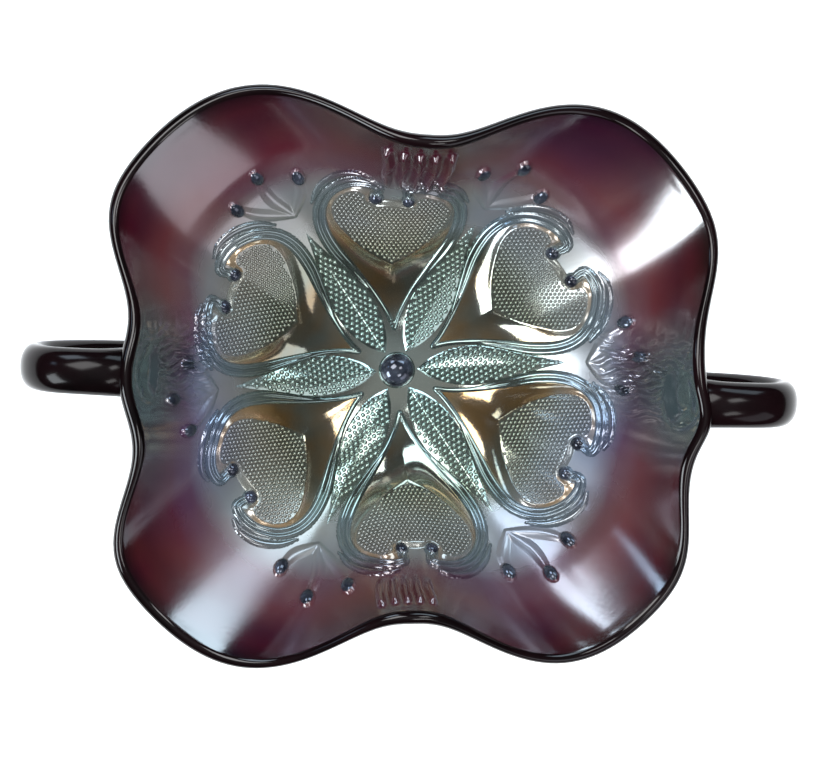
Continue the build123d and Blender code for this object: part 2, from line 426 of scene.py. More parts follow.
def flat_dots(points, radius, high, height):
    """Small domes standing on the relief at flat points."""
    sides = DOME_SIDES
    turn = np.linspace(0, 2 * math.pi, sides, endpoint=False)
    ring_x = np.concatenate([radius * share * np.cos(turn) for share, _ in DOME_RINGS] + [[0.0]])
    ring_y = np.concatenate([radius * share * np.sin(turn) for share, _ in DOME_RINGS] + [[0.0]])
    ring_h = np.concatenate([[lift * high] * sides for _, lift in DOME_RINGS] + [[high]])
    x, y = points[:, :1], points[:, 1:]
    h = height(x, y) + ring_h
    last, tip = (len(DOME_RINGS) - 1) * sides, len(DOME_RINGS) * sides
    one = [tuple(face) for face in grid_faces(len(DOME_RINGS), sides)]
    one += [(last + s, last + (s + 1) % sides, tip) for s in range(sides)]
    one.append(tuple(range(sides - 1, -1, -1)))
    faces = [tuple(i + k * (tip + 1) for i in face) for k in range(len(points)) for face in one]
    return (x + ring_x).ravel(), (y + ring_y).ravel(), h.ravel(), faces


def joined(*flats):
    """Several flat reliefs as one."""
    faces, count = [], 0
    for x, _, _, some in flats:
        faces.extend(tuple(i + count for i in face) for face in some)
        count += len(x)
    return tuple(np.concatenate([f[k] for f in flats]) for k in range(3)) + (faces,)


def face_middles(flat):
    """Flat x and y of the middle of each face."""
    x, y, _, faces = flat
    return tuple(np.array([np.mean(v[list(face)]) for face in faces]) for v in (x, y))


def laid(name, flat, bearing):
    """An object made by laying a flat relief on the glass at a bearing."""
    x, y, h, faces = flat
    return new_object(name, on_glass(x, y, h, bearing), faces)


# ---------------------------------------------------------------- materials
NIL = (0.0, 0.0, 0.0)
FULL = (1.0, 1.0, 1.0)

# Dark glass: noise level and colour, then refraction
GLASS_TONES = ((0.3, (0.001, 0.0007, 0.0008)), (0.75, (0.004, 0.0015, 0.002)))
GLASS_IOR = 1.42

# How far out and up the glass (metres), then the film's colour, how metallic it is, its roughness
FILM = (
    (0.000, (0.24, 0.29, 0.27), 0.95, 0.06),
    (0.023, (0.22, 0.25, 0.22), 0.95, 0.08),
    (0.043, (0.20, 0.22, 0.18), 0.90, 0.14),
    (0.057, (0.17, 0.19, 0.185), 0.65, 0.28),
    (0.074, (0.135, 0.145, 0.155), 0.55, 0.31),
    (0.086, (0.068, 0.030, 0.043), 0.40, 0.25),
    (0.098, (0.045, 0.006, 0.011), 0.15, 0.25),
    (0.111, (0.022, 0.002, 0.006), 0.10, 0.20),
    (0.118, (0.022, 0.002, 0.005), 0.08, 0.16),
    (0.126, (0.004, 0.001, 0.002), 0.05, 0.12),
)
FILM_SPAN = 0.14
# how much a rise counts against a distance out, and how far the film's bands wander
RISE_SHARE = 1.3
FILM_WANDER = 0.016
FILM_IOR = 1.9
COAT_IOR = 1.8
COAT_WEIGHT = 0.4
COAT_ROUGHNESS = 0.15
# Patches of gold on the metallic part and of purple on the wine part
GOLD = (0.32, 0.18, 0.05)
GOLD_PATCHES = ((0.40, NIL), (0.60, FULL))
PURPLE = (0.6, 0.8, 1.7)
PURPLE_PATCHES = ((0.42, NIL), (0.62, FULL))
# wear multiplies the roughness by this much noise plus this much
WEAR = (0.6, 0.7)

# The teal patches over the handle seats: middle, with x taken as positive, and reach; then how
# strongly they take their colour, how much more metallic they are, and how much smoother
SEAT_AT = (0.070, -0.002, 0.081)
SEAT_REACH = 0.024
SEAT_FADE = ((0.35, FULL), (1.0, NIL))
SEAT_TEAL = (0.045, 0.072, 0.078)
SEAT_TEAL_SHARE = 0.8
SEAT_METAL = 0.4
SEAT_POLISH = 0.75

# Beads and boss: noise level and colour, then how metallic they are, and refraction; the dark colour
# is painted shade, standing in for the dark room these polished domes reflect
SEED_TONES = ((0.35, (0.012, 0.014, 0.022)), (0.7, (0.05, 0.06, 0.085)))
SEED_METAL = 0.6
SEED_IOR = 1.8


def node(tree, kind, **values):
    n = tree.nodes.new(kind)
    for key, value in values.items():
        setattr(n, key, value)
    return n


def ramp(tree, source, stops):
    n = node(tree, "ShaderNodeValToRGB")
    elements = n.color_ramp.elements
    while len(elements) > 1:
        elements.remove(elements[-1])
    elements[0].position = stops[0][0]
    elements[0].color = (*stops[0][1], 1.0)
    for place, colour in stops[1:]:
        elements.new(place).color = (*colour, 1.0)
    tree.links.new(source, n.inputs[0])
    return n.outputs[0]


def maths(tree, operation, *values, clamp=False):
    n = node(tree, "ShaderNodeMath", operation=operation, use_clamp=clamp)
    for socket, value in zip(n.inputs, values):
        if isinstance(value, (int, float)):
            socket.default_value = value
        else:
            tree.links.new(value, socket)
    return n.outputs[0]


def mix(tree, share, a, b, blend="MIX"):
    n = node(tree, "ShaderNodeMix", data_type="RGBA", blend_type=blend)
    for socket, value in ((n.inputs[0], share), (n.inputs[6], a), (n.inputs[7], b)):
        if isinstance(value, (int, float)):
            socket.default_value = value
        elif isinstance(value, tuple):
            socket.default_value = (*value, 1.0)
        else:
            tree.links.new(value, socket)
    return n.outputs[2]


def noise(tree, vector, scale, detail=3.0, rough=0.5):
    n = node(tree, "ShaderNodeTexNoise")
    n.inputs["Scale"].default_value = scale
    n.inputs["Detail"].default_value = detail
    n.inputs["Roughness"].default_value = rough
    tree.links.new(vector, n.inputs["Vector"])
    return n.outputs["Fac"]


def uneven(tree, bsdf, height, strength, distance):
    """Bump from a height, the distance in metres."""
    bump = node(tree, "ShaderNodeBump")
    bump.inputs["Strength"].default_value = strength
    bump.inputs["Distance"].default_value = distance
    tree.links.new(height, bump.inputs["Height"])
    tree.links.new(bump.outputs[0], bsdf.inputs["Normal"])


def start_material(name):
    m = bpy.data.materials.new(name)
    m.use_nodes = True
    tree = m.node_tree
    tree.nodes.clear()
    out = node(tree, "ShaderNodeOutputMaterial")
    bsdf = node(tree, "ShaderNodeBsdfPrincipled")
    tree.links.new(bsdf.outputs[0], out.inputs[0])
    coords = node(tree, "ShaderNodeTexCoord").outputs["Object"]
    return m, tree, bsdf, coords


def dark_glass(name, level, smooth):
    """Near-black amethyst glass, glossy, with faint handling marks."""
    m, tree, bsdf, coords = start_material(name)
    bsdf.inputs["Specular IOR Level"].default_value = level
    bsdf.inputs["IOR"].default_value = GLASS_IOR
    cloud = noise(tree, coords, scale=60.0, detail=4.0)
    tree.links.new(ramp(tree, cloud, GLASS_TONES), bsdf.inputs["Base Color"])
    rough = maths(tree, "MULTIPLY_ADD", noise(tree, coords, scale=220.0), 0.06, smooth)
    tree.links.new(rough, bsdf.inputs["Roughness"])
    uneven(tree, bsdf, noise(tree, coords, scale=45.0, detail=2.0), strength=0.12, distance=0.0004)
    return m


def film_share(tree, coords):
    """How far out and up the glass a point lies, 0 on the axis to 1 past the rim."""
    flat = node(tree, "ShaderNodeVectorMath", operation="MULTIPLY")
    flat.inputs[1].default_value = (1.0, 1.0, 0.0)
    tree.links.new(coords, flat.inputs[0])
    far = node(tree, "ShaderNodeVectorMath", operation="LENGTH")
    tree.links.new(flat.outputs[0], far.inputs[0])
    height = node(tree, "ShaderNodeSeparateXYZ")
    tree.links.new(coords, height.inputs[0])
    risen = maths(tree, "MULTIPLY_ADD", height.outputs[2], RISE_SHARE, -RISE_SHARE * FLOOR_Z * MM)
    cloud = noise(tree, coords, scale=26.0, detail=4.0, rough=0.55)
    warp = maths(tree, "MULTIPLY_ADD", cloud, FILM_WANDER, -FILM_WANDER / 2)
    total = maths(tree, "ADD", maths(tree, "ADD", far.outputs["Value"], risen), warp)
    return maths(tree, "DIVIDE", total, FILM_SPAN, clamp=True)


def seat_share(tree, coords):
    """1 at the middle of a handle seat, 0 outside its patch."""
    mirrored = node(tree, "ShaderNodeVectorMath", operation="ABSOLUTE")
    tree.links.new(coords, mirrored.inputs[0])
    away = node(tree, "ShaderNodeVectorMath", operation="DISTANCE")
    tree.links.new(mirrored.outputs[0], away.inputs[0])
    away.inputs[1].default_value = SEAT_AT
    return ramp(tree, maths(tree, "DIVIDE", away.outputs["Value"], SEAT_REACH, clamp=True), SEAT_FADE)


def iridised_glass(name, tint, gold_share, rough_share):
    """The same glass under a metallic film that runs from silver green to wine."""
    m, tree, bsdf, coords = start_material(name)
    share = film_share(tree, coords)
    film = ramp(tree, share, [(r / FILM_SPAN, c) for r, c, _, _ in FILM])
    metal = ramp(tree, share, [(r / FILM_SPAN, (v, v, v)) for r, _, v, _ in FILM])
    satin = ramp(tree, share, [(r / FILM_SPAN, (v, v, v)) for r, _, _, v in FILM])
    seat = seat_share(tree, coords)

    gold = ramp(tree, noise(tree, coords, scale=46.0), GOLD_PATCHES)
    gilding = maths(tree, "MULTIPLY", maths(tree, "MULTIPLY", gold, gold_share), metal)
    colour = mix(tree, gilding, film, GOLD)
    purple = ramp(tree, noise(tree, coords, scale=17.0, detail=2.0), PURPLE_PATCHES)
    wine = maths(tree, "SUBTRACT", 1.0, metal)
    purpled = mix(tree, 1.0, colour, PURPLE, "MULTIPLY")
    colour = mix(tree, maths(tree, "MULTIPLY", purple, wine), colour, purpled)
    colour = mix(tree, 1.0, colour, tint, "MULTIPLY")
    colour = mix(tree, maths(tree, "MULTIPLY", seat, SEAT_TEAL_SHARE), colour, SEAT_TEAL)
    tree.links.new(colour, bsdf.inputs["Base Color"])

    seat_metal = maths(tree, "MULTIPLY", seat, SEAT_METAL)
    tree.links.new(maths(tree, "ADD", metal, seat_metal, clamp=True), bsdf.inputs["Metallic"])

    worn = maths(tree, "MULTIPLY_ADD", noise(tree, coords, scale=70.0), *WEAR)
    rough = maths(tree, "MULTIPLY", maths(tree, "MULTIPLY", satin, worn), rough_share)
    polish = maths(tree, "MULTIPLY_ADD", seat, -SEAT_POLISH, 1.0)
    tree.links.new(maths(tree, "MULTIPLY", rough, polish), bsdf.inputs["Roughness"])

    bsdf.inputs["IOR"].default_value = FILM_IOR
    bsdf.inputs["Coat Weight"].default_value = COAT_WEIGHT
    bsdf.inputs["Coat IOR"].default_value = COAT_IOR
    bsdf.inputs["Coat Roughness"].default_value = COAT_ROUGHNESS
    grain = noise(tree, coords, scale=900.0, detail=4.0, rough=0.6)
    uneven(tree, bsdf, grain, strength=0.3, distance=0.00006)
    return m


def seed_glass():
    """Beads and boss: polished, coloured dark blue-black as painted shade for the dark room they
    reflect.
    """
    m, tree, bsdf, coords = start_material("seed_painted_shade")
    bsdf.inputs["Metallic"].default_value = SEED_METAL
    bsdf.inputs["IOR"].default_value = SEED_IOR
    tree.links.new(ramp(tree, noise(tree, coords, scale=300.0), SEED_TONES), bsdf.inputs["Base Color"])
    rough = maths(tree, "MULTIPLY_ADD", noise(tree, coords, scale=500.0), 0.08, 0.05)
    tree.links.new(rough, bsdf.inputs["Roughness"])
    uneven(tree, bsdf, noise(tree, coords, scale=700.0), strength=0.2, distance=0.0001)
    return m


black = dark_glass("dark_glass", level=0.35, smooth=0.05)
black_bar = dark_glass("dark_glass_bar", level=0.17, smooth=0.12)
film_wide = iridised_glass("film_wide", FULL, gold_share=0.15, rough_share=1.0)
film_relief = iridised_glass("film_relief", (0.62, 0.74, 0.77), gold_share=0.1, rough_share=0.4)
film_stipple = iridised_glass("film_stipple", (0.80, 0.79, 0.71), gold_share=0.15, rough_share=0.8)
film_bevel = iridised_glass("film_bevel", (1.0, 0.97, 0.88), gold_share=0.9, rough_share=0.5)
film_petal = iridised_glass("film_petal", (1.0, 1.14, 1.12), gold_share=0.0, rough_share=0.8)
# Dark bead, knob and boss colour: painted shade standing in for dark reflections
seed_painted_shade = seed_glass()

# ---------------------------------------------------------------- bowl
COLUMNS = 560
INNER_ROWS = 150
LIP_ROWS = 9
OUTER_ROWS = 44
# the first inner row and the fade of the relief, as shares of the way to the rim
INNER_START = 0.02
RELIEF_FADE = (0.97, 1.0)
# bearing and half-width of the stretches with closer columns, how much closer, and their soft edge
DENSE = ((90.0, 17.0), (269.0, 17.0), (356.5, 13.0), (184.0, 13.0))
DENSE_GAIN = 2.4
DENSE_EDGE = 3.0
DENSE_STEP = 0.05


def column_bearings():
    """Bearings of the shell's columns, closer together at the four dips."""
    fine = np.arange(0.0, 360.0, DENSE_STEP)
    weight = np.full_like(fine, 1.0)
    for middle, half in DENSE:
        off = np.abs(turned(fine, middle))
        weight += DENSE_GAIN * (1 - smoothstep(off, half - DENSE_EDGE, half + DENSE_EDGE))
    gone = np.concatenate([[0.0], np.cumsum(weight)])
    places = np.linspace(0, gone[-1], COLUMNS, endpoint=False)
    return np.interp(places, gone, np.append(fine, 360.0))


def build_bowl():
    cols = column_bearings()
    a = np.radians(cols)
    ends = np.interp(cols, np.append(bearings, 360.0), np.append(reach, reach[0]))
    rows = []
    for s in np.linspace(INNER_START, 1.0, INNER_ROWS):
        rho = ends * s
        p, n = look_up(rho, cols)
        rows.append(p + n * (shell_relief(rho, cols) * (1 - smoothstep(s, *RELIEF_FADE)))[:, None])
    radius, top, slope = rim(cols)
    lip_r, lip_z = radius - RIM_T / 2, top - RIM_T / 2
    for k in range(1, LIP_ROWS):
        turn = math.pi * k / LIP_ROWS
        out = RIM_T / 2 * (math.sin(turn) * np.cos(slope) - math.cos(turn) * np.sin(slope))
        up = RIM_T / 2 * (math.sin(turn) * np.sin(slope) + math.cos(turn) * np.cos(slope))
        r = lip_r + out
        rows.append(np.stack([r * np.cos(a), r * np.sin(a), lip_z + up], axis=-1))
    outer = np.array([profile_curve(b, -RIM_T, np.linspace(1.0, 0.0, OUTER_ROWS)) for b in cols])
    for k in range(OUTER_ROWS):
        r, z = outer[:, k, 0], outer[:, k, 1]
        rows.append(np.stack([r * np.cos(a), r * np.sin(a), z], axis=-1))
    verts = np.vstack(rows)
    faces = grid_faces(len(rows), COLUMNS)
    total = len(verts)
    verts = np.vstack([verts, [[0, 0, FLOOR_Z]], [[0, 0, FLOOR_Z - FLOOR_T]]])
    last = (len(rows) - 1) * COLUMNS
    for c in range(COLUMNS):
        faces.append((c, total, (c + 1) % COLUMNS)[::-1])
        faces.append((last + c, last + (c + 1) % COLUMNS, total + 1))
    obj = new_object("bowl_glass", verts, faces)
    finish_piece(obj, "dark_glass", ["bowl"], film_wide, black)
    # the film covers the inner rows and the inner middle; the rest is plain dark glass
    index = np.ones(len(faces), int)
    index[: (INNER_ROWS - 1) * COLUMNS] = 0
    index[-2 * COLUMNS :: 2] = 0
    set_materials(obj, index)


build_bowl()

# ---------------------------------------------------------------- pattern pieces
scroll = smooth_line(SCROLL_LINE)
crescent = smooth_line(CRESCENT_LINE)
field_half = smooth_line(FIELD_LINE)
petal_half = smooth_line(PETAL_LINE)
heart_outline = np.vstack([scroll, (scroll * (1, -1))[::-1]])
field_outline = np.vstack([field_half, (field_half * (1, -1))[::-1][1:-1]])
petal_outline = np.vstack([petal_half, (petal_half * (1, -1))[::-1][1:-1]])
KNOB_X, KNOB_Y = SCROLL_LINE[-1]

# where the top of any ridge drops below the glass, as shares of its half-width
RIDGE_EDGE = (0.9, 1.0)
# Scroll ridges: height, height and half-width at the tip, what they gain on the way out, the groove
RIDGE_H = 1.15
TIP_H = 0.45
TIP_HALF = 0.6
HALF_GAIN = 1.2
WIDENS = (0.10, 0.45)
NARROWS = (0.82, 1.0)
NARROWS_BY = 0.5
RISES = (0.05, 0.5)
GROOVE_DEPTH = 0.75
GROOVE_WIDE = 0.3
GROOVE_FROM = (0.12, 0.3)
KNOB_R = 2.0
KNOB_H = 1.8
CRESCENT_HALF = (0.2, 1.0)
CRESCENT_FULLNESS = 0.7
CRESCENT_H = 0.8
# Heart fields: height, how far the stipple lies below it, and the bevel that climbs to it
FIELD_H = 1.3
FIELD_SUNK = 0.12
BEVEL_STRAIGHT = 0.25
BEVEL_POWER = 2.4
NOTCH_X = (48.4, 50.3)
NOTCH_Y = (3.0, 5.0)
# Petals: keel height where the petal is widest, and how it follows the width and falls to the side
KEEL_H = 1.5
PETAL_HALF = 5.2
KEEL_FOLLOWS = 0.8
KEEL_SIDE = 1.15
PETAL_EDGE = 0.3
LEAST_HALF = 0.05
# Stipple: pitch, dome radius and height, and how far it keeps from the edges
DOT_PITCH = 1.15
DOT_SIZE = (0.52, 0.45)
DOT_MARGIN = 0.35
KNOB_MARGIN = 2.2
PETAL_PITCH = 1.42
PETAL_DOT_SIZE = (0.66, 0.62)
PETAL_DOT_MARGIN = 0.55
# rows lie this share of the pitch apart; the fields are first x, last x and half-width
ROW_PITCH = 0.87
HEART_DOT_FIELD = (28.0, 54.0, 18.0)
PETAL_DOT_FIELD = (6.5, 44.0, 6.0)
# Flat patches: first and last x, first and last y, grid step
HEART_PATCH = (10.0, 57.0, -20.0, 20.0, 0.3)
SCROLL_PATCH = (9.5, 60.0, -23.0, 23.0, 0.25)
PETAL_PATCH = (4.0, 45.0, -6.5, 6.5, 0.25)
# where faces count as the notch between the knobs, and as a knob
NOTCH_FROM_X = 47.5
NOTCH_HALF = 6.0
KNOB_SHARE = 0.85


def ridge(d, half_width, high):
    """A rounded ridge's height at distance d from its centre line."""
    u = np.clip(d / half_width, 0, 1)
    return high * np.sqrt(np.maximum(1 - u**2, 0)) - SINK * smoothstep(u, *RIDGE_EDGE)


def raised(h, d, half_width, high):
    """h, or the ridge where that stands higher."""
    return np.maximum(h, np.where(d < half_width, ridge(d, half_width, high), -SINK))


def scroll_height(x, y):
    y = np.abs(y)
    d, s = to_line(x, y, scroll)
    half = TIP_HALF + HALF_GAIN * smoothstep(s, *WIDENS) * (1 - NARROWS_BY * smoothstep(s, *NARROWS))
    high = TIP_H + (RIDGE_H - TIP_H) * smoothstep(s, *RISES)
    groove = GROOVE_DEPTH * np.exp(-((d / (GROOVE_WIDE * half)) ** 2)) * smoothstep(s, *GROOVE_FROM)
    h = raised(np.full(x.shape, -SINK), d, half, high * (1 - groove))
    h = raised(h, np.hypot(x - KNOB_X, y - KNOB_Y), KNOB_R, KNOB_H)
    away, s = to_line(x, y, crescent)
    narrow, gain = CRESCENT_HALF
    wide = narrow + gain * np.sin(np.pi * np.clip(s, 0, 1)) ** CRESCENT_FULLNESS
    return raised(h, away, wide, CRESCENT_H)


def field_height(x, y):
    ay = np.abs(y)
    d_field, _ = to_line(x, ay, field_half)
    d_ridge, _ = to_line(x, ay, scroll)
    share = d_ridge / (d_ridge + d_field + TINY)
    bevel = FIELD_H * (BEVEL_STRAIGHT * share + (1 - BEVEL_STRAIGHT) * share**BEVEL_POWER)
    h = np.where(inside(x, y, field_outline), FIELD_H - FIELD_SUNK, bevel)
    notch = smoothstep(x, *NOTCH_X) * (1 - smoothstep(ay, *NOTCH_Y))
    return np.where(inside(x, y, heart_outline), h * (1 - notch), -SINK)


def petal_height(x, y):
    d, _ = to_line(x, np.abs(y), petal_half)
    local_half = np.interp(x, petal_half[:, 0], petal_half[:, 1])
    share = np.clip(np.abs(y) / np.maximum(local_half, LEAST_HALF), 0, 1)
    keel = KEEL_H * (local_half / PETAL_HALF) ** KEEL_FOLLOWS * (1 - share**KEEL_SIDE)
    h = np.maximum(keel, 0) - SINK * (1 - smoothstep(d, 0.0, PETAL_EDGE))
    return np.where(inside(x, y, petal_outline), h, -SINK)


def staggered(x0, x1, half, pitch):
    """Points in rows across x, each row shifted by half a pitch from the last."""
    points = []
    row = 0
    x = x0
    most = int(half / pitch) + 1
    while x < x1:
        shift = 0.5 * pitch * (row % 2)
        points.extend((x, k * pitch + shift) for k in range(-most, most + 1))
        x += pitch * ROW_PITCH
        row += 1
    return np.array(points)


def keep_inside(points, outline, half_line, margin):
    x, y = points[:, 0], points[:, 1]
    d, _ = to_line(x, np.abs(y), half_line)
    return points[inside(x, y, outline) & (d > margin)]


heart_dots = staggered(*HEART_DOT_FIELD, DOT_PITCH)
heart_dots = keep_inside(heart_dots, field_outline, field_half, DOT_MARGIN)
knob_gap = np.hypot(heart_dots[:, 0] - KNOB_X, np.abs(heart_dots[:, 1]) - KNOB_Y)
heart_dots = heart_dots[knob_gap > KNOB_MARGIN]
petal_dots = staggered(*PETAL_DOT_FIELD, PETAL_PITCH)
petal_dots = keep_inside(petal_dots, petal_outline, petal_half, PETAL_DOT_MARGIN)

heart_flat = joined(
    flat_patch(*HEART_PATCH, field_height),
    flat_dots(heart_dots, *DOT_SIZE, field_height),
)
scroll_flat = flat_patch(*SCROLL_PATCH, scroll_height)
petal_flat = joined(
    flat_patch(*PETAL_PATCH, petal_height),
    flat_dots(petal_dots, *PETAL_DOT_SIZE, petal_height),
)
face_x, face_y = face_middles(heart_flat)
in_notch = (face_x > NOTCH_FROM_X) & (np.abs(face_y) < NOTCH_HALF)
on_bevel = (~inside(face_x, face_y, field_outline) & ~in_notch).astype(int)
face_x, face_y = face_middles(scroll_flat)
on_knob = (np.hypot(face_x - KNOB_X, np.abs(face_y) - KNOB_Y) < KNOB_SHARE * KNOB_R).astype(int)
for k in range(SPOKES):
    bearing = HEART_BEARING + 360.0 / SPOKES * k
    obj = laid(f"heart_field_{k + 1}_glass", heart_flat, bearing)
    finish_piece(obj, "iridised_glass", [f"heart_field_{k + 1}"], film_stipple, film_bevel)
    set_materials(obj, on_bevel)
    obj = laid(f"heart_scroll_{k + 1}_glass", scroll_flat, bearing)
    # The knobs take the dark colour that is painted shade
    finish_piece(obj, "iridised_glass", [f"heart_scroll_{k + 1}"], film_relief, seed_painted_shade)
    set_materials(obj, on_knob)
    bearing = PETAL_BEARING + 360.0 / SPOKES * k
    obj = laid(f"petal_{k + 1}_glass", petal_flat, bearing)
    finish_piece(obj, "iridised_glass", [f"petal_{k + 1}"], film_petal)

# Sprays: soft tapering blades with a seed each, fanning from the end of each petal
# Where the blades meet, and the flat patch: first and last x, first and last y, grid step
SPRAY_ROOT = 50.0
SPRAY_PATCH = (48.0, 70.0, -14.0, 15.0, 0.25)
# lean in degrees and distance of each bead
SPRAY_BEADS = ((-8.0, 60.0), (0.5, 66.0), (9.0, 62.0))
# how far each spray leans round the bowl, in degrees
SPRAY_LEANS = (1.0, -3.0, 2.0, 0.0, 1.4, 2.4)
# Blades: sideways bow, half-width and its gain, the part of a half wave they follow, and crown
BLADE_BEND = 1.4
BLADE_HALF = (0.5, 1.5)
BLADE_SPAN = (0.15, 0.75)
BLADE_H = 0.6
BLADE_SUNK = 0.03
BLADE_ROUND = 1.5
# Seeds: half-width, height, and length as a share of the width
SEED_R = 1.9
SEED_H = 1.5
SEED_LONG = 1.45
# faces above this height are the seed
SEED_LOW = 0.62


def spray_relief(turn):
    """The height function of a spray that leans by turn degrees."""
    stems = []
    for lean, far in SPRAY_BEADS:
        at = math.radians(lean + turn)
        tip = (far * math.cos(at), far * math.sin(at))
        middle = ((SPRAY_ROOT + tip[0]) / 2, tip[1] / 2 + math.copysign(BLADE_BEND, lean))
        stems.append((smooth_line(((SPRAY_ROOT, 0.0), middle, tip)), at))

    def height(x, y):
        h = np.full(x.shape, -SINK)
        for line, at in stems:
            d, s = to_line(x, y, line)
            fullness = np.clip(BLADE_SPAN[0] + BLADE_SPAN[1] * s, 0, 1)
            half = BLADE_HALF[0] + BLADE_HALF[1] * np.sin(math.pi * fullness)
            crown = np.cos(np.minimum(d / half, 1.0) * math.pi / 2) ** BLADE_ROUND
            h = np.maximum(h, np.where(d < half, BLADE_H * crown - BLADE_SUNK, -SINK))
            dx, dy = x - line[-1][0], y - line[-1][1]
            long = (dx * math.cos(at) + dy * math.sin(at)) / SEED_LONG
            short = dy * math.cos(at) - dx * math.sin(at)
            h = raised(h, np.hypot(long, short), SEED_R, SEED_H)
        return h

    return height


for k, lean in enumerate(SPRAY_LEANS):
    spray_flat = flat_patch(*SPRAY_PATCH, spray_relief(lean))
    lowest = np.array([min(spray_flat[2][i] for i in face) for face in spray_flat[3]])
    obj = laid(f"spray_{k + 1}_glass", spray_flat, PETAL_BEARING + 360.0 / SPOKES * k)
    # The seeds take the dark colour that is painted shade
    finish_piece(obj, "iridised_glass", [f"spray_{k + 1}"], film_wide, seed_painted_shade)
    set_materials(obj, (lowest > SEED_LOW).astype(int))

# ---------------------------------------------------------------- turned pieces
# Centre boss: a dome inside a low ring, its base sunk in the floor
BOSS_SUNK = 0.5
BOSS_RING_R = 4.6
BOSS_RING_WIDE = 0.6
BOSS_RING_H = 0.45
BOSS_RING_STEPS = 9
# the share of a half wave that the ring's top follows, and where on its arc the dome starts
BOSS_RING_WAVE = 0.75
BOSS_START = 0.12
BOSS_STEPS = 16
BOSS_R = 3.9
BOSS_H = 2.5
BOSS_LIFT = 0.1
# faces beyond this radius are the ring
BOSS_RING_FROM = 3.95
# Foot and stem: radius and height, from the middle of the underside round to the top
FOOT_JOIN_Z = 9.0
FOOT_TOP_Z = 16.0
FOOT_UNDER = ((10.0, 8.8), (20.0, 7.4), (28.0, 4.2), (32.2, 1.0), (33.2, 0.1))
FOOT_RING = ((33.8, 0.0), (35.9, 0.0), (37.2, 0.9), (37.5, 2.3), (36.6, 4.2))
FOOT_UPPER = ((34.0, 5.6), (27.0, 8.6), (19.0, 11.4), (13.5, 14.2), (12.1, 16.0))
STEM_FOOT = ((0.0, 15.9), (12.0, 15.9))
STEM_HEAD = ((20.0, 46.2), (0.0, 46.2))
STEM_LINE = (
    (11.9, 16.2),
    (9.2, 20.0),
    (8.0, 26.0),
    (9.0, 33.0),
    (12.6, 39.5),
    (17.0, 43.2),
    (20.4, 45.4),
)
# six soft panels round the stem's waist: depth, then where they fade in and out
FACET_DEPTH = 0.03
FACET_WINDOW = (18.0, 6.0, 34.0, 7.0)


def lathe(name, outline, count, fluting=None):
    """A turned solid from a list of (radius, height), closed on the axis at both ends."""
    turn = np.linspace(0, 2 * math.pi, count, endpoint=False)
    rings = outline[1:-1]
    verts = []
    for r, z in rings:
        wave = r if fluting is None else r * (1 + fluting(turn, z))
        verts.append(np.stack([wave * np.cos(turn), wave * np.sin(turn), np.full(count, z)], axis=-1))
    verts = np.vstack(verts)
    faces = grid_faces(len(rings), count)
    n = len(verts)
    verts = np.vstack([verts, [[0, 0, outline[0][1]]], [[0, 0, outline[-1][1]]]])
    last = (len(rings) - 1) * count
    for c in range(count):
        faces.append(((c + 1) % count, c, n))
        faces.append((last + c, last + (c + 1) % count, n + 1))
    return new_object(name, verts, faces)


def facets(turn, z):
    return FACET_DEPTH * window(z, *FACET_WINDOW) * np.cos(SPOKES * turn)


boss = [(0.0, FLOOR_Z - BOSS_SUNK), (BOSS_RING_R, FLOOR_Z - BOSS_SUNK)]
for t in np.linspace(0, 1, BOSS_RING_STEPS):
    rise = BOSS_RING_H * math.sin(math.pi * t * BOSS_RING_WAVE)
    boss.append((BOSS_RING_R - BOSS_RING_WIDE * t, FLOOR_Z + rise))
for t in np.linspace(BOSS_START, 1, BOSS_STEPS):
    a = t * math.pi / 2
    boss.append((BOSS_R * math.cos(a), FLOOR_Z + BOSS_LIFT + BOSS_H * math.sin(a)))
boss[-1] = (0.0, FLOOR_Z + BOSS_LIFT + BOSS_H)
obj = lathe("centre_boss_glass", boss, count=96)
# The dome takes the dark colour that is painted shade; the ring takes the relief film
finish_piece(obj, "iridised_glass", ["centre_boss"], seed_painted_shade, film_relief)
set_materials(obj, [int(math.hypot(*f.center[:2]) > BOSS_RING_FROM * MM) for f in obj.data.polygons])

foot_points = [(0.0, FOOT_JOIN_Z)]
for part in (FOOT_UNDER, FOOT_RING, FOOT_UPPER):
    foot_points += [(r, max(z, 0.0)) for r, z in smooth_line(part)]
foot_points += [(0.0, FOOT_TOP_Z)]
obj = lathe("foot_glass", foot_points, count=192)
finish_piece(obj, "dark_glass", ["foot"], black)

stem_points = [*STEM_FOOT, *(tuple(p) for p in smooth_line(STEM_LINE)), *STEM_HEAD]
obj = lathe("stem_glass", stem_points, count=160, fluting=facets)
finish_piece(obj, "dark_glass", ["stem"], black)

# ---------------------------------------------------------------- handles
# how far both handles are shifted along +X, and each one along Y, by side
HANDLE_SHIFT = 1.5
HANDLE_Y = {-1: 0.7, 1: -2.4}
# the bar's centre line, distance out and height, from the upper end to the lower
HANDLE_LINE = (
    (66.0, 83.2),
    (75.0, 86.3),
    (86.5, 84.0),
    (91.2, 76.0),
    (88.2, 67.0),
    (78.5, 61.0),
    (66.0, 59.4),
    (55.0, 60.4),
    (49.0, 61.6),
)
BAR_ACROSS = 11.0
BAR_THICK = 7.0
BAR_SIDES = 40
BAR_SPAN_STEPS = 12
# the bar's section is an oval a little fuller than an ellipse
BAR_FULLNESS = 0.9
# how much each end swells, and over what share of the length
UPPER_SWELL = (0.10, 0.10)
LOWER_SWELL = (0.12, 0.12)
# how deep the ends stop inside the wall
END_DEPTH = 1.2
WALL_STEPS = np.linspace(0.0, 1.0, 120)


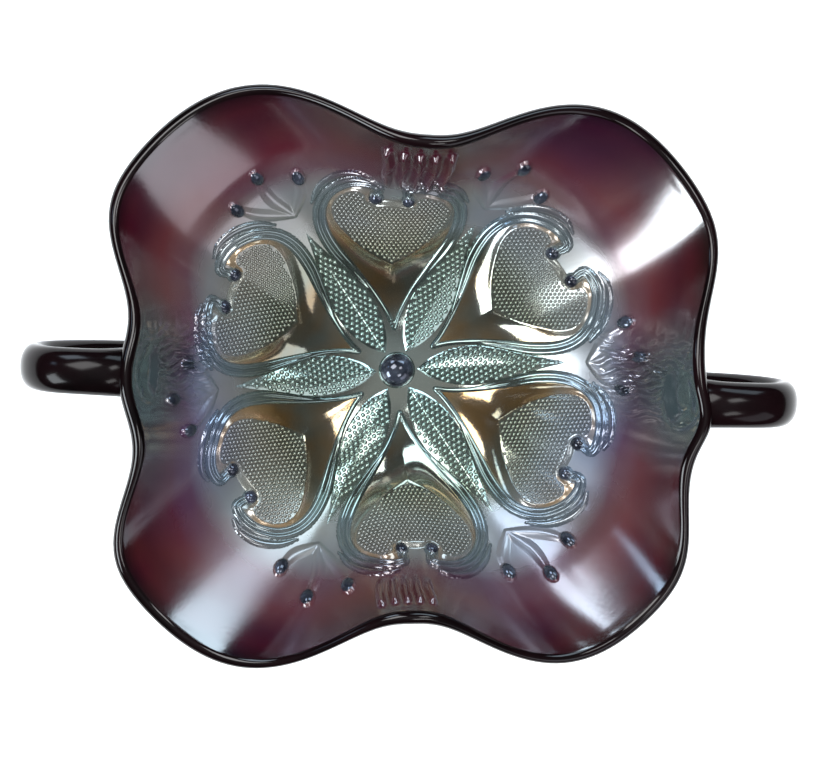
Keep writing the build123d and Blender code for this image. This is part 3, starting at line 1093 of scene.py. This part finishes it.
def build_handle(name, side):
    line = smooth_line(HANDLE_LINE, BAR_SPAN_STEPS)
    tangent = np.gradient(line, axis=0)
    tangent /= np.hypot(tangent[:, 0], tangent[:, 1])[:, None]
    turn = np.linspace(0, 2 * math.pi, BAR_SIDES, endpoint=False)
    across = BAR_ACROSS / 2 * np.sign(np.sin(turn)) * np.abs(np.sin(turn)) ** BAR_FULLNESS
    deep = BAR_THICK / 2 * np.cos(turn)
    rows = []
    for (x, z), (tx, tz), s in zip(line, tangent, np.linspace(0, 1, len(line))):
        swell = 1.0 + UPPER_SWELL[0] * math.exp(-((s / UPPER_SWELL[1]) ** 2))
        swell += LOWER_SWELL[0] * math.exp(-(((1 - s) / LOWER_SWELL[1]) ** 2))
        out = side * (x - tz * swell * deep) + HANDLE_SHIFT
        rows.append(np.stack([out, swell * across + HANDLE_Y[side], z + tx * swell * deep], axis=-1))
    verts = np.vstack(rows)
    # Both ends stop inside the thickness of the glass
    for v in verts:
        at = math.degrees(math.atan2(v[1], v[0]))
        wall = profile_curve(at, -RIM_T, WALL_STEPS)
        shortest = float(np.interp(v[2], wall[:, 1], wall[:, 0])) - END_DEPTH
        v[:2] *= max(1.0, shortest / math.hypot(v[0], v[1]))
    faces = grid_faces(len(rows), BAR_SIDES, flip=side > 0)
    first = tuple(range(BAR_SIDES))
    last = tuple(range(len(verts) - BAR_SIDES, len(verts)))
    faces.append(first if side > 0 else first[::-1])
    faces.append(last[::-1] if side > 0 else last)
    obj = new_object(f"{name}_glass", verts, faces)
    finish_piece(obj, "dark_glass", [name], black_bar)


build_handle("handle_left", -1)
build_handle("handle_right", 1)

# ---------------------------------------------------------------- floor
FLOOR_HALF = 1.5
FLOOR_BELOW = -0.0002
FLOOR_GREY = 0.93
FLOOR_ROUGHNESS = 0.9
floor_mesh = bpy.data.meshes.new("floor")
floor_corners = ((-1, -1), (1, -1), (1, 1), (-1, 1))
floor_mesh.from_pydata(
    [(x * FLOOR_HALF, y * FLOOR_HALF, FLOOR_BELOW) for x, y in floor_corners], [], [(0, 1, 2, 3)]
)
floor = bpy.data.objects.new("floor", floor_mesh)
bpy.context.scene.collection.objects.link(floor)
pale = bpy.data.materials.new("pale_floor")
pale.use_nodes = True
pale_bsdf = pale.node_tree.nodes["Principled BSDF"]
pale_bsdf.inputs["Base Color"].default_value = (FLOOR_GREY, FLOOR_GREY, FLOOR_GREY, 1.0)
pale_bsdf.inputs["Roughness"].default_value = FLOOR_ROUGHNESS
floor_mesh.materials.append(pale)

# ---------------------------------------------------------------- light
AIM = Vector((0.0, 0.0, 0.06))
FILL_DISTANCE = 1.5
FILL_SIZE = (1.6, 1.6)
FILL_POWER = 48.0
LIGHT_DISTANCE = 1.2
# name, azimuth counter-clockwise from +X, elevation, size, power, colour
LIGHTS = (
    ("key", 135.0, 66.0, (0.5, 0.4), 7.0, FULL),
    ("top_south", 300.0, 60.0, (0.35, 0.2), 1.9, FULL),
    ("top_east", 30.0, 68.0, (0.2, 0.3), 2.0, FULL),
    ("from_south_west", 211.0, 35.0, (0.56, 0.42), 12.0, (0.88, 0.95, 1.0)),
    ("from_north_east", 66.0, 35.0, (0.72, 0.36), 6.0, (0.70, 0.87, 1.0)),
    ("from_north_west", 119.0, 34.0, (0.36, 0.36), 4.6, (0.72, 0.85, 1.0)),
    ("from_west", 161.0, 38.0, (0.16, 0.16), 0.5, (0.55, 0.75, 1.0)),
    ("from_south_east", 316.0, 33.0, (0.70, 0.50), 2.4, (0.92, 0.92, 1.0)),
)
# Room: how far up the sky and how bright, dim all round and lighter overhead
ROOM = ((0.0, 0.005), (0.3, 0.01), (0.6, 0.02), (0.8, 0.10), (0.93, 0.20), (1.0, 0.55))
ROOM_TINT = (0.95, 0.98, 1.0)


def softbox(name, azimuth, elevation, distance, size, power, colour=FULL):
    """A rectangular area light at an azimuth and elevation, aimed at the bowl."""
    a, e = math.radians(azimuth), math.radians(elevation)
    back = Vector((math.cos(a) * math.cos(e), math.sin(a) * math.cos(e), math.sin(e)))
    light = bpy.data.lights.new(name, "AREA")
    light.shape = "RECTANGLE"
    light.size, light.size_y = size
    light.energy = power
    light.color = colour
    obj = bpy.data.objects.new(name, light)
    obj.location = AIM + back * distance
    obj.rotation_mode = "QUATERNION"
    obj.rotation_quaternion = back.to_track_quat("Z", "Y")
    bpy.context.scene.collection.objects.link(obj)
    return obj


# The overhead fill lights the floor and the body colour only, and isn't mirrored in the glass
fill = softbox("fill", 0.0, 90.0, FILL_DISTANCE, FILL_SIZE, FILL_POWER)
fill.visible_glossy = False
for name, azimuth, elevation, size, power, colour in LIGHTS:
    softbox(name, azimuth, elevation, LIGHT_DISTANCE, size, power, colour)

world = bpy.data.worlds.new("studio")
world.use_nodes = True
sky = world.node_tree
direction = node(sky, "ShaderNodeSeparateXYZ")
sky.links.new(node(sky, "ShaderNodeTexCoord").outputs["Generated"], direction.inputs[0])
band = ramp(sky, direction.outputs[2], [(z, [v * t for t in ROOM_TINT]) for z, v in ROOM])
sky.links.new(band, sky.nodes["Background"].inputs[0])
bpy.context.scene.world = world
bpy.context.scene.view_settings.view_transform = "Standard"

# ---------------------------------------------------------------- camera
# It looks down on the bowl, tipped a little towards the left and back
CAM_TIP = math.radians(5.5)
CAM_ROLL = math.radians(2.35)
CAM_DISTANCE = 800.0
CAM_AIM = np.array([2.4, -3.0, 70.0])
# image points per millimetre at the aim, and the image's width in points
CAM_SCALE = 4.095
VIEW_WIDTH = 828.0
SENSOR = 36.0
toward = np.array([-math.sin(CAM_TIP), math.sin(CAM_TIP), math.sqrt(1 - 2 * math.sin(CAM_TIP) ** 2)])
right = np.cross((0.0, 1.0, 0.0), toward)
right /= np.linalg.norm(right)
up = np.cross(toward, right)
right, up = (
    math.cos(CAM_ROLL) * right + math.sin(CAM_ROLL) * up,
    math.cos(CAM_ROLL) * up - math.sin(CAM_ROLL) * right,
)
cam_data = bpy.data.cameras.new("camera")
cam_data.sensor_width = SENSOR
cam_data.lens = CAM_SCALE * CAM_DISTANCE * SENSOR / VIEW_WIDTH
cam_data.clip_end = 10.0
camera = bpy.data.objects.new("camera", cam_data)
bpy.context.scene.collection.objects.link(camera)
spot = (CAM_AIM + toward * CAM_DISTANCE) * MM
camera.matrix_world = Matrix([*zip(right, up, toward, spot), (0.0, 0.0, 0.0, 1.0)])
bpy.context.scene.camera = camera

bpy.context.view_layer.update()
